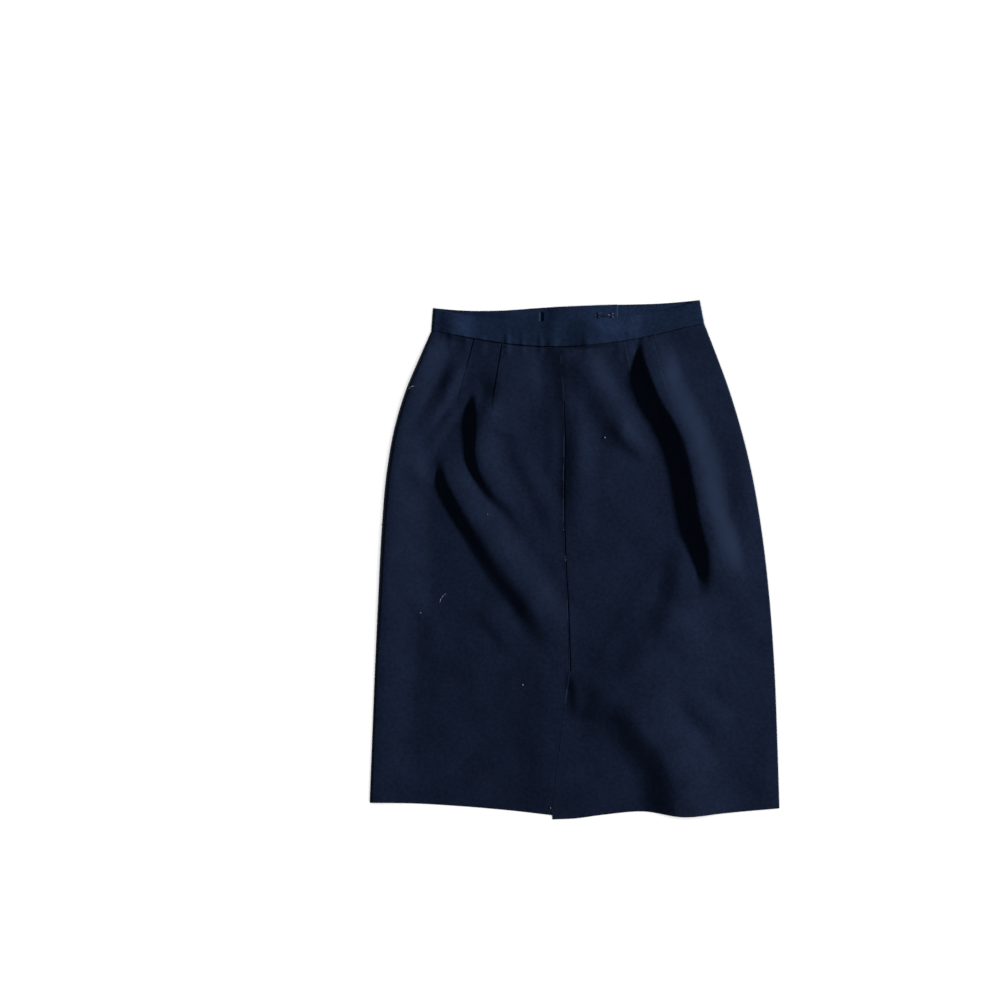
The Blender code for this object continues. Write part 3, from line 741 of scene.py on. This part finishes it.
def clothShell(name, points, wall, rim, rimSteps=5):
    # Outer face: the grid. Inner face: the grid moved in along its normals by the wall. Rim: a
    # half ellipse from one border to the other, which bulges out to where the border was
    rows, columns = points.shape[:2]
    down = unit(np.gradient(points, axis=0))
    along = unit(np.gradient(points, axis=1))
    out = np.zeros_like(points)
    out[:, 0] -= along[:, 0]
    out[:, -1] += along[:, -1]
    out[0] -= down[0]
    out[-1] += down[-1]
    out = unit(out)
    wall = np.broadcast_to(wall, (rows, columns))[..., None]
    outer = points - rim * out
    inner = outer - wall * unit(np.cross(down, along))

    lengths = lengthOf(np.diff(points, axis=1))
    u = np.concatenate((np.zeros((rows, 1)), np.cumsum(lengths, axis=1)), axis=1)
    uvs = stacked(u, points[..., 1])

    turn = np.linspace(0.0, math.pi, rimSteps + 1)[1:-1, None, None]
    ringOuter, ringInner = ringOf(outer), ringOf(inner)
    rims = 0.5 * (ringOuter + ringInner) + 0.5 * (ringOuter - ringInner) * np.cos(turn)
    rims = rims + rim * ringOf(out) * np.sin(turn)
    ringUvs = ringOf(uvs) + rim * np.sin(turn)

    count = rows * columns
    index = np.arange(count).reshape(rows, columns)
    ring = ringOf(index)
    middle = 2 * count + np.arange((rimSteps - 1) * len(ring)).reshape(-1, len(ring))
    loops = np.concatenate((ring[None], middle, ring[None] + count))
    rimGrid = np.concatenate((loops, loops[:, :1]), axis=1)
    faces = np.concatenate((gridFaces(index), gridFaces(index + count)[:, ::-1],
                            gridFaces(rimGrid)))
    vertices = np.concatenate([part.reshape(-1, 3) for part in (outer, inner, rims)])
    allUvs = np.concatenate([part.reshape(-1, 2) for part in (uvs, uvs, ringUvs)])
    return makeMesh(name, vertices, faces.tolist(), allUvs)


def ringsMesh(name, rings, uvs=None, turned=False):
    # A closed body through rings of points, with flat ends; turned where the rings run backwards
    index = np.arange(rings.shape[0] * rings.shape[1]).reshape(rings.shape[:2])
    faces = gridFaces(np.concatenate((index, index[:, :1]), axis=1)).tolist()
    faces += [index[0].tolist(), index[-1, ::-1].tolist()]
    if turned:
        faces = [face[::-1] for face in faces]
    return makeMesh(name, rings.reshape(-1, 3), faces, uvs)


threadSides = 6          # a thread or a fibre is a thin tube with few sides


def tubeMesh(name, path, radius, sides=12, tip=0.02):
    # A round section carried along a path that stays nearly level: at each place the section
    # lies across the path, and it shrinks by a quarter circle to a small tip at both ends
    path = np.asarray(path, dtype=float)
    heading = unit(np.gradient(path, axis=0))
    across = unit(np.cross(heading, (0.0, 0.0, 1.0)))
    up = np.cross(across, heading)
    lengths = np.concatenate(([0.0], np.cumsum(lengthOf(np.diff(path, axis=0)))))
    fromEnd = np.clip(np.minimum(lengths, lengths[-1] - lengths) / radius, tip, 1.0)
    thick = radius * np.sqrt(1.0 - (1.0 - fromEnd)**2)
    angle = np.linspace(0.0, 2.0 * math.pi, sides, endpoint=False)[None, :, None]
    rings = path[:, None] + thick[:, None, None] * (
        across[:, None] * np.cos(angle) + up[:, None] * np.sin(angle))
    around = np.linspace(0.0, 2.0 * math.pi * radius, sides)
    uvs = stacked(lengths[:, None], around[None, :])
    return ringsMesh(name, rings, uvs.reshape(-1, 2))


def plug(tree, node, inputs):
    # Sets a node's inputs to values, or links them to the outputs of other nodes
    for key, value in inputs.items():
        if isinstance(value, bpy.types.NodeSocket):
            tree.links.new(value, node.inputs[key])
        else:
            node.inputs[key].default_value = value


def nodeOf(tree, kind, inputs, output=0, **settings):
    # A shader node with its inputs and its settings; gives one of its outputs
    node = tree.nodes.new("ShaderNode" + kind)
    for key, value in settings.items():
        setattr(node, key, value)
    plug(tree, node, inputs)
    return node.outputs[output]


def noiseOf(tree, places, scale, detail):
    # Noise, a sum of ever finer waves: the detail is the number of its doublings
    return nodeOf(tree, "TexNoise", {"Vector": places, "Scale": scale, "Detail": detail}, "Fac")


def twillOf(tree, places, scale, distortion):
    # Slanting waves: a sine of the sum of the three coordinates times the scale
    inputs = {"Vector": places, "Scale": scale, "Distortion": distortion}
    return nodeOf(tree, "TexWave", inputs, "Fac", bands_direction="DIAGONAL")


def tonesOf(tree, factor, dark, pale, ends=(0.0, 1.0), blend="LINEAR"):
    # A colour ramp from a dark tone to a pale one, which lie at its ends
    tones = nodeOf(tree, "ValToRGB", {"Fac": factor}, "Color")
    tones.node.color_ramp.interpolation = blend
    for stop, tone, place in zip(tones.node.color_ramp.elements, (dark, pale), ends):
        stop.color = (*tone, 1.0)
        stop.position = place
    return tones


def bumpOf(tree, height, strength, depth, **over):
    # The surface raised by a pattern, over another normal if there is one
    inputs = {"Height": height, "Strength": strength, "Distance": depth * mm}
    return nodeOf(tree, "Bump", {**inputs, **over}, "Normal")


def newMaterial(name, even):
    # A material with even values on its Principled shader, and its cloth's own coordinates
    material = bpy.data.materials.new(name)
    material.use_nodes = True
    tree = material.node_tree
    shader = tree.nodes["Principled BSDF"]
    plug(tree, shader, even)
    return material, tree, shader, nodeOf(tree, "TexCoord", {}).node.outputs


waveScale = 0.1          # scale of slanting waves times the distance between them, in metres

woolLook = {
    "colour": (0.0060, 0.0100, 0.0244),
    "bandColour": (0.0072, 0.0140, 0.0350),
    "paler": 1.45,       # the light end of the heather, and the dark end, against the colour
    "darker": 0.66,
    "heatherEnds": (0.34, 0.68),
    "noises": ((24.0, 3.0, 0.30), (230.0, 4.0, 0.45), (1500.0, 3.0, 0.25)),  # with their weights
    "roughness": {"From Min": 0.3, "From Max": 0.7, "To Min": 0.50, "To Max": 0.66},
    "even": {
        "Specular IOR Level": 0.05, "Specular Tint": (0.35, 0.55, 1.0, 1.0),
        "Sheen Weight": 0.015, "Sheen Roughness": 0.5, "Sheen Tint": (0.55, 0.66, 0.85, 1.0),
    },
    "weavePitch": 0.55,  # millimetres between two threads
    "weave": {"Distortion": 0.6, "Detail": 1.0, "Detail Scale": 2.0},
    "weaveBump": (0.6, 0.05),
    "napBump": (0.5, 0.10),
}

# Painted highlights on the band: soft patches where its colour is brightened to stand in for light
# catching the cloth, a painted sheen; middle, reach and gain of each patch
PaintedHighlight = namedtuple("PaintedHighlight", "x y across along gain")
paintedHighlightPatches = (
    PaintedHighlight(53.0, 315.0, 50.0, 26.0, 0.36),
    PaintedHighlight(-143.0, 317.0, 18.0, 32.0, 0.22),
)
paintedHighlightCore = 0.6          # share of its reach over which a patch rises to its full gain


def paintHighlightsOver(tree, colour, places):
    # Paints highlights into a colour: brightens it in soft round patches, each a spherical gradient
    # around its middle, through a colour ramp from white to its gain above white
    for patch in paintedHighlightPatches:
        wide, tall = patch.across * mm, patch.along * mm
        spot = nodeOf(tree, "Mapping", {
            "Vector": places, "Location": (-patch.x * mm / wide, -patch.y * mm / tall, 0.0),
            "Scale": (1.0 / wide, 1.0 / tall, 0.0)})
        disc = nodeOf(tree, "TexGradient", {"Vector": spot}, "Fac", gradient_type="SPHERICAL")
        gain = tonesOf(tree, disc, [1.0] * 3, [1.0 + patch.gain] * 3, (0.0, paintedHighlightCore), "EASE")
        colour = nodeOf(tree, "VectorMath", {0: colour, 1: gain}, operation="MULTIPLY")
    return colour


def woolMaterial(name, colour, withPaintedHighlights=False):
    # Twill weave from two crossed waves on the cloth's own grain, a nap from the finest noise,
    # and a heathered colour from three scales of noise, with painted highlight patches where asked
    look = woolLook
    material, tree, shader, places = newMaterial(name, look["even"])
    noises = [noiseOf(tree, places["Object"], *noise[:2]) for noise in look["noises"]]
    parts = [nodeOf(tree, "Math", {0: noise, 1: values[2]}, operation="MULTIPLY")
             for noise, values in zip(noises, look["noises"])]
    mixed = nodeOf(tree, "Math", {0: parts[0], 1: parts[1]})
    mixed = nodeOf(tree, "Math", {0: mixed, 1: parts[2]})
    dark, pale = ([look[end] * value for value in colour] for end in ("darker", "paler"))
    tone = tonesOf(tree, mixed, dark, pale, look["heatherEnds"])

    scale = waveScale * math.pi / (look["weavePitch"] * mm)
    threads = {}
    for number, turn in enumerate((0.0, 0.5 * math.pi)):
        grain = nodeOf(tree, "Mapping", {"Vector": places["UV"], "Rotation": (0.0, 0.0, turn)})
        inputs = {"Vector": grain, "Scale": scale, **look["weave"]}
        threads[number] = nodeOf(tree, "TexWave", inputs, "Fac")
    weave = nodeOf(tree, "Math", threads, operation="MULTIPLY")
    weaveBump = bumpOf(tree, weave, *look["weaveBump"])
    plug(tree, shader, {
        "Base Color": paintHighlightsOver(tree, tone, places["Object"]) if withPaintedHighlights else tone,
        "Roughness": nodeOf(tree, "MapRange", {"Value": noises[1], **look["roughness"]}),
        "Normal": bumpOf(tree, noises[2], *look["napBump"], Normal=weaveBump)})
    return material


# The small pieces and the floor: what mixes their two tones, and what raises their surface
trimLooks = {
    "tape": {"noise": (900.0, 2.0), "ribs": (260.0, 0.4), "bump": (0.7, 0.12),
             "even": {"Roughness": 0.75, "Specular IOR Level": 0.3}},
    "metal": {"noise": (700.0, 4.0), "roughness": {"To Min": 0.32, "To Max": 0.54},
              "bump": (0.3, 0.02), "even": {"Metallic": 1.0}},
    "thread": {"twist": 0.5, "bump": (0.5, 0.05),
               "even": {"Roughness": 0.7, "Specular IOR Level": 0.35}},
    "floor": {"noise": (40.0, 4.0), "even": {"Roughness": 0.8, "Specular IOR Level": 0.2}},
}


def trimMaterial(name, kind, dark, pale, pitch=None):
    # Noise mixes the tones, or on a thread slanting waves a pitch apart. Ribs along the grain
    # raise a tape, and the pattern itself raises a metal or a thread; it roughens a metal too
    look = trimLooks[kind]
    material, tree, shader, places = newMaterial(name, look["even"])
    if pitch:
        pattern = twillOf(tree, places["Object"], waveScale / (pitch * mm), look["twist"])
    else:
        pattern = noiseOf(tree, places["Object"], *look["noise"])
    inputs = {"Base Color": tonesOf(tree, pattern, dark, pale)}
    if "roughness" in look:
        inputs["Roughness"] = nodeOf(tree, "MapRange", {"Value": pattern, **look["roughness"]})
    if "ribs" in look:
        pattern = twillOf(tree, places["UV"], *look["ribs"])
    if "bump" in look:
        inputs["Normal"] = bumpOf(tree, pattern, *look["bump"])
    plug(tree, shader, inputs)
    return material


def dress(piece, material, slot, *nodes):
    # Gives a piece its finish and its body, and hides the imported nodes that it stands in for
    piece.data.materials.clear()
    piece.data.materials.append(material)
    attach(piece, "root")
    if nodes:
        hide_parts(*nodes)
    return piece


print("stage: cloth of the panels")
panelCuts = {}


def layCloth(name, points, wall, rim, material, slot, node, restsOn):
    # Makes and dresses a cloth, and keeps its grid, from which the lint takes its heights
    piece = dress(clothShell(name, points, wall, rim), material, slot, node)
    panelCuts[name] = (piece, points, restsOn)


wools = {face: woolMaterial(face + "Wool", woolLook["colour"]) for face in ("front", "back")}
for side in ("left", "right"):
    ending = side.title() + "Cloth"
    for face, points, under in (("front", frontPoints(side), "back" + ending),
                                ("back", backPoints(side), "floor")):
        layCloth(face + ending, points, skirtCut["wall"], skirtCut["rim"], wools[face],
                 face + "_wool", face + "_" + side, [under])

print("stage: waistband")
# The band's colour carries painted highlight patches: brightened spots that stand in for light on
# the cloth
bandWool = woolMaterial("bandWool", woolLook["bandColour"], withPaintedHighlights=True)
layCloth("waistbandCloth", *bandPoints(), band["rim"], bandWool, "band_wool", "waistband",
         ["floor"])

print("stage: zip")


def zipTop():
    # y of its upper end, just below the seam
    return float(seamBack(zipMiddle())) - zipFastener["belowSeam"]


def zipLevel():
    # Upper face of the tape
    return skirtCut["wall"] + skirtCut["gap"] + zipFastener["thick"]


def zipTape():
    # A strip with two cords beside its middle; its rows run down the zip
    make = zipFastener
    x = np.linspace(-0.5, 0.5, make["columns"] + 1)[None, :] * make["width"]
    y = zipTop() - np.linspace(0.0, 1.0, make["rows"] + 1)[:, None] * make["length"]
    cords = np.exp(-((np.abs(x) - make["cordPlace"]) / make["cordReach"])**2)
    z = zipLevel() - make["cordHeight"] * (1.0 - cords)
    z = z + make["waveHeight"] * np.sin(make["waveTurn"] * y)
    return stacked(x + zipMiddle(), y, z)


def zipTeeth():
    # One tooth is a small block with a raised middle; it is repeated down both sides, and the
    # second side lies half a pitch lower
    make = zipFastener
    pitch = make["toothPitch"]
    block = np.array([(a, b, c) for a in (-0.5, 0.0, 0.5) for b in (-0.5, 0.5) for c in (0.0, 1.0)])
    block = block * make["toothSize"]
    block[:, 2] += make["toothRidge"] * (block[:, 0] == 0.0) * (block[:, 2] > 0.0)
    sides = ((1, 3, 2, 0), (10, 11, 9, 8), (2, 6, 4, 0), (6, 10, 8, 4), (5, 7, 3, 1), (9, 11, 7, 5),
             (4, 5, 1, 0), (8, 9, 5, 4), (3, 7, 6, 2), (7, 11, 10, 6))
    downs = zipTop() - pitch * (1.0 + np.arange(int(make["length"] / pitch) - 2))
    level = np.full_like(downs, zipLevel() - make["toothSink"])
    places = np.concatenate([
        stacked(zipMiddle() + sign * make["toothPlace"], downs - 0.25 * sign * pitch, level)
        for sign in (-1.0, 1.0)])
    vertices = (places[:, None] + block[None]).reshape(-1, 3)
    starts = len(block) * np.arange(len(places))[:, None, None]
    faces = (starts + np.array(sides)[None]).reshape(-1, 4)
    return makeMesh("zipTeeth", vertices, faces.tolist())


def zipSlider():
    # A closed body whose outline narrows towards its tail: rings of a rounded square carried
    # from its top to its tail
    make = zipFastener
    width, length, thick = make["sliderSize"]
    along = np.linspace(0.0, math.pi, make["sliderRings"] + 1)[1:-1, None]
    around = np.linspace(0.0, 2.0 * math.pi, make["sliderRound"], endpoint=False)[None, :]

    def squarish(wave):
        # The wave's sign times its size to a power
        return np.sign(wave) * np.abs(wave)**make["sliderSides"]

    share = 0.5 - 0.5 * np.cos(along)
    ringSize = np.sin(along)**make["sliderEnds"]
    x = 0.5 * width * (1.0 - make["sliderTaper"] * share) * ringSize * squarish(np.cos(around))
    y = zipTop() - make["sliderDrop"] - length * share
    z = zipLevel() + skirtCut["gap"] + 0.5 * thick * (1.0 + ringSize * squarish(np.sin(around)))
    rings = stacked(x + zipMiddle(), y, z)
    return ringsMesh("zipSliderBody", rings, turned=True)


zipTapeCloth = clothShell("zipTapeCloth", zipTape(), zipFastener["thick"] - zipFastener["rim"],
                          zipFastener["rim"])
weave = trimMaterial("zipTape", "tape", (0.0040, 0.0062, 0.0140), (0.0085, 0.0125, 0.0270))
dress(zipTapeCloth, weave, "zip_cloth", "zip_tape")
nylon = trimMaterial("toothNylon", "thread", (0.008, 0.010, 0.018), (0.020, 0.026, 0.045), 0.8)
dress(zipTeeth(), nylon, "zip_cloth")
enamel = trimMaterial("sliderEnamel", "metal", (0.012, 0.016, 0.028), (0.030, 0.036, 0.055))
dress(zipSlider(), enamel, "zip_metal", "zip_slider")

print("stage: hook and eye")
hookAndEye = {
    "radius": 0.4,
    "middle": (43.5, 317.6),
    "hookShank": 11.5, "eyeShank": 5.0,
    "shankHalf": 0.8,
    "loopRadius": 1.0,
    "loopTurn": 250.0,
    "lift": 1.4,
    "loopSteps": 40, "noseSteps": 25, "shankSteps": 14,
    "threadRadius": 0.16,
    "stitchTurns": (20.0, 70.0, 120.0, 170.0, 220.0),
    "stitchSteps": 9,
    "stitchReach": 0.75,
    "stitchHeight": 0.95, "stitchFoot": 0.02,
}


def bandFace():
    # Inner face of the back of the band, on which both are sewn
    return 2.0 * bandLayer


def wireRoute(shank, lift, heading):
    # Bent wire: a sewing loop, a shank, a round nose, the other shank and its loop. The lift
    # is a smooth step along the shank
    make = hookAndEye
    turns = np.radians(np.linspace(make["loopTurn"], 0.0, make["loopSteps"]))
    nose = np.radians(np.linspace(90.0, -90.0, make["noseSteps"]))
    straight = np.linspace(0.0, shank, make["shankSteps"])[1:-1]
    halfX = np.concatenate((-make["loopRadius"] * np.sin(turns), straight))
    halfY = np.concatenate((make["shankHalf"] + make["loopRadius"] * (1.0 - np.cos(turns)),
                            np.full_like(straight, make["shankHalf"])))
    x = np.concatenate((halfX, shank + make["shankHalf"] * np.cos(nose), halfX[::-1]))
    y = np.concatenate((halfY, make["shankHalf"] * np.sin(nose), -halfY[::-1]))
    z = bandFace() + make["radius"] + lift * ramp(x / shank)
    middleX, middleY = make["middle"]
    return stacked(middleX + heading * (x - shank), middleY + y, z)


def sewingLoops():
    # Thread over each sewing loop of the hook and the eye: short arches across the wire
    make = hookAndEye
    arch = np.linspace(0.0, math.pi, make["stitchSteps"])
    reach = make["loopRadius"] - make["stitchReach"] * np.cos(arch)
    z = bandFace() + make["stitchFoot"] + make["stitchHeight"] * np.sin(arch)
    arches = []
    for heading, shank in ((1.0, make["hookShank"]), (-1.0, make["eyeShank"])):
        for sign in (-1.0, 1.0):
            centreX = make["middle"][0] - heading * shank
            centreY = make["middle"][1] + sign * (make["shankHalf"] + make["loopRadius"])
            for angle in np.radians(make["stitchTurns"]):
                x = centreX - heading * math.sin(angle) * reach
                y = centreY - sign * math.cos(angle) * reach
                arches.append(stacked(x, y, z))
    return arches


lacquer = trimMaterial("lacqueredWire", "metal", (0.060, 0.075, 0.140), (0.20, 0.22, 0.36))
for node, shank, lift, heading in (("hook", hookAndEye["hookShank"], hookAndEye["lift"], 1.0),
                                   ("eye", hookAndEye["eyeShank"], 0.0, -1.0)):
    wire = tubeMesh(node + "Wire", wireRoute(shank, lift, heading), hookAndEye["radius"])
    dress(wire, lacquer, "wire_metal", node)
cotton = trimMaterial("sewingThread", "thread", (0.006, 0.009, 0.020), (0.018, 0.024, 0.045), 0.3)
stitches = [tubeMesh("stitch", arch, hookAndEye["threadRadius"], threadSides)
            for arch in sewingLoops()]


def joinPieces(pieces, name):
    # Several small meshes as one piece
    with bpy.context.temp_override(active_object=pieces[0], selected_editable_objects=pieces):
        bpy.ops.object.join()
    pieces[0].name = name
    pieces[0].data.name = name
    return pieces[0]


dress(joinPieces(stitches, "hookStitches"), cotton, "zip_cloth")

print("stage: lint")
Fibre = namedtuple("Fibre", "x y length turn bend radius")
lint = {
    "fibres": [Fibre(*row) for row in (
        (-171.0, -50.0, 15.0, 57.0, 2.0, 0.22),
        (39.0, 158.5, 2.0, 20.0, 0.2, 0.85),
        (-31.0, -322.0, 1.8, 100.0, 0.3, 0.50),
        (-200.0, -69.0, 2.2, 40.0, 0.3, 0.35),
        (-67.0, -162.0, 1.4, 130.0, 0.2, 0.45),
        (-113.0, 59.0, 1.5, 10.0, 0.2, 0.40),
        (-211.0, 223.0, 8.0, 25.0, 1.2, 0.20),
        (-250.0, 46.0, 2.0, 80.0, 0.3, 0.30),
    )],
    "steps": 15,
    "smoothing": 5,      # places over which the height under a fibre is evened out
    "clear": 0.1,
}


def heightAt(grid, x, y):
    # Height of the nearest point of a grid
    away = (grid[..., 0] - x)**2 + (grid[..., 1] - y)**2
    return float(grid.reshape(-1, 3)[np.argmin(away), 2])


def lintFibres():
    # Each fibre is an arc over the cloth that starts and ends on it
    along = np.linspace(-0.5, 0.5, lint["steps"])
    evening = np.full(lint["smoothing"], 1.0 / lint["smoothing"])
    pieces = []
    for fibre in lint["fibres"]:
        side = "Left" if fibre.x < section("centre", 0.5) else "Right"
        grid = panelCuts["front" + side + "Cloth"][1]
        turn = math.radians(fibre.turn)
        bow = fibre.bend * (1.0 - 4.0 * along**2)
        x = fibre.x + fibre.length * along * math.cos(turn) - bow * math.sin(turn)
        y = fibre.y + fibre.length * along * math.sin(turn) + bow * math.cos(turn)
        z = np.array([heightAt(grid, *place) for place in zip(x, y)])
        z = np.convolve(np.pad(z, len(evening) // 2, mode="edge"), evening, mode="valid")
        path = stacked(x, y, z + fibre.radius + lint["clear"])
        pieces.append(tubeMesh("fibre", path, fibre.radius, threadSides))
    return pieces


fluff = trimMaterial("lintFibre", "thread", (0.10, 0.11, 0.13), (0.52, 0.54, 0.58), 1.2)
dress(joinPieces(lintFibres(), "lintFibres"), fluff, "front_wool")

print("stage: sheets")


studio = {
    "cameraPlace": (-0.09685, 0.07768, 3.0694),
    "lens": 85.0, "sensor": 36.0,
    "keyElevation": 25.0, "keyAzimuth": 15.0,
    "keyDistance": 3.6,
    "keyPower": 236.0,
    "keySize": 0.5,
    "skyStrength": 0.15,
    "floorSize": 6000.0, "floorCells": 24,
    "floorLevel": -0.05,
    "floorTones": (0.985 * 0.93, 0.93),
    "floorLight": 3.3, "floorLightAngle": 60.0,
}


def makeFloor():
    # A wide level grid just under the skirt, with a barely visible grain
    half = 0.5 * studio["floorSize"]
    line = np.linspace(-half, half, studio["floorCells"] + 1)
    y, x = np.meshgrid(line[::-1], line, indexing="ij")
    points = stacked(x, y, np.full_like(x, studio["floorLevel"]))
    index = np.arange(x.size).reshape(x.shape)
    floor = makeMesh("floor", points.reshape(-1, 3), gridFaces(index).tolist())
    dark, pale = ([tone] * 3 for tone in studio["floorTones"])
    floor.data.materials.append(trimMaterial("paleFloor", "floor", dark, pale))
    return floor


def newLight(name, kind, energy, lit):
    # A light that only reaches the pieces given
    light = addObject(name, bpy.data.lights.new(name, kind))
    light.data.energy = energy
    reached = bpy.data.collections.new(name + "Reach")
    for piece in lit:
        reached.objects.link(piece)
    light.light_linking.receiver_collection = reached
    return light


def makeLights(floor):
    # A low key from the right rakes the cloth; a soft light from straight above is for the floor
    elevation = math.radians(studio["keyElevation"])
    azimuth = math.radians(studio["keyAzimuth"])
    towards = Vector((math.cos(azimuth) * math.cos(elevation),
                      math.sin(azimuth) * math.cos(elevation), math.sin(elevation)))
    cloths = [piece for piece in bpy.context.scene.objects
              if piece.type == "MESH" and piece is not floor]
    key = newLight("keyLight", "AREA", studio["keyPower"], cloths)
    key.data.shape = "DISK"
    key.data.size = studio["keySize"]
    key.location = studio["keyDistance"] * towards
    key.rotation_euler = towards.to_track_quat("Z", "Y").to_euler()
    overhead = newLight("floorLight", "SUN", studio["floorLight"], [floor])
    overhead.data.angle = math.radians(studio["floorLightAngle"])

    world = bpy.data.worlds.new("studioWorld")
    bpy.context.scene.world = world
    world.use_nodes = True
    plug(world.node_tree, world.node_tree.nodes["Background"],
         {"Color": (1.0, 1.0, 1.0, 1.0), "Strength": studio["skyStrength"]})


def makeCamera():
    # Straight above the skirt, a little to its upper left, where the view is taken from
    camera = addObject("viewCamera", bpy.data.cameras.new("viewCamera"))
    camera.data.type = "PERSP"
    camera.data.lens = studio["lens"]
    camera.data.sensor_width = studio["sensor"]
    camera.data.dof.use_dof = False
    camera.location = studio["cameraPlace"]
    bpy.context.scene.camera = camera


print("stage: studio")
floor = makeFloor()
makeLights(floor)
makeCamera()
bpy.context.scene.view_settings.view_transform = "Standard"

print("stage: done")
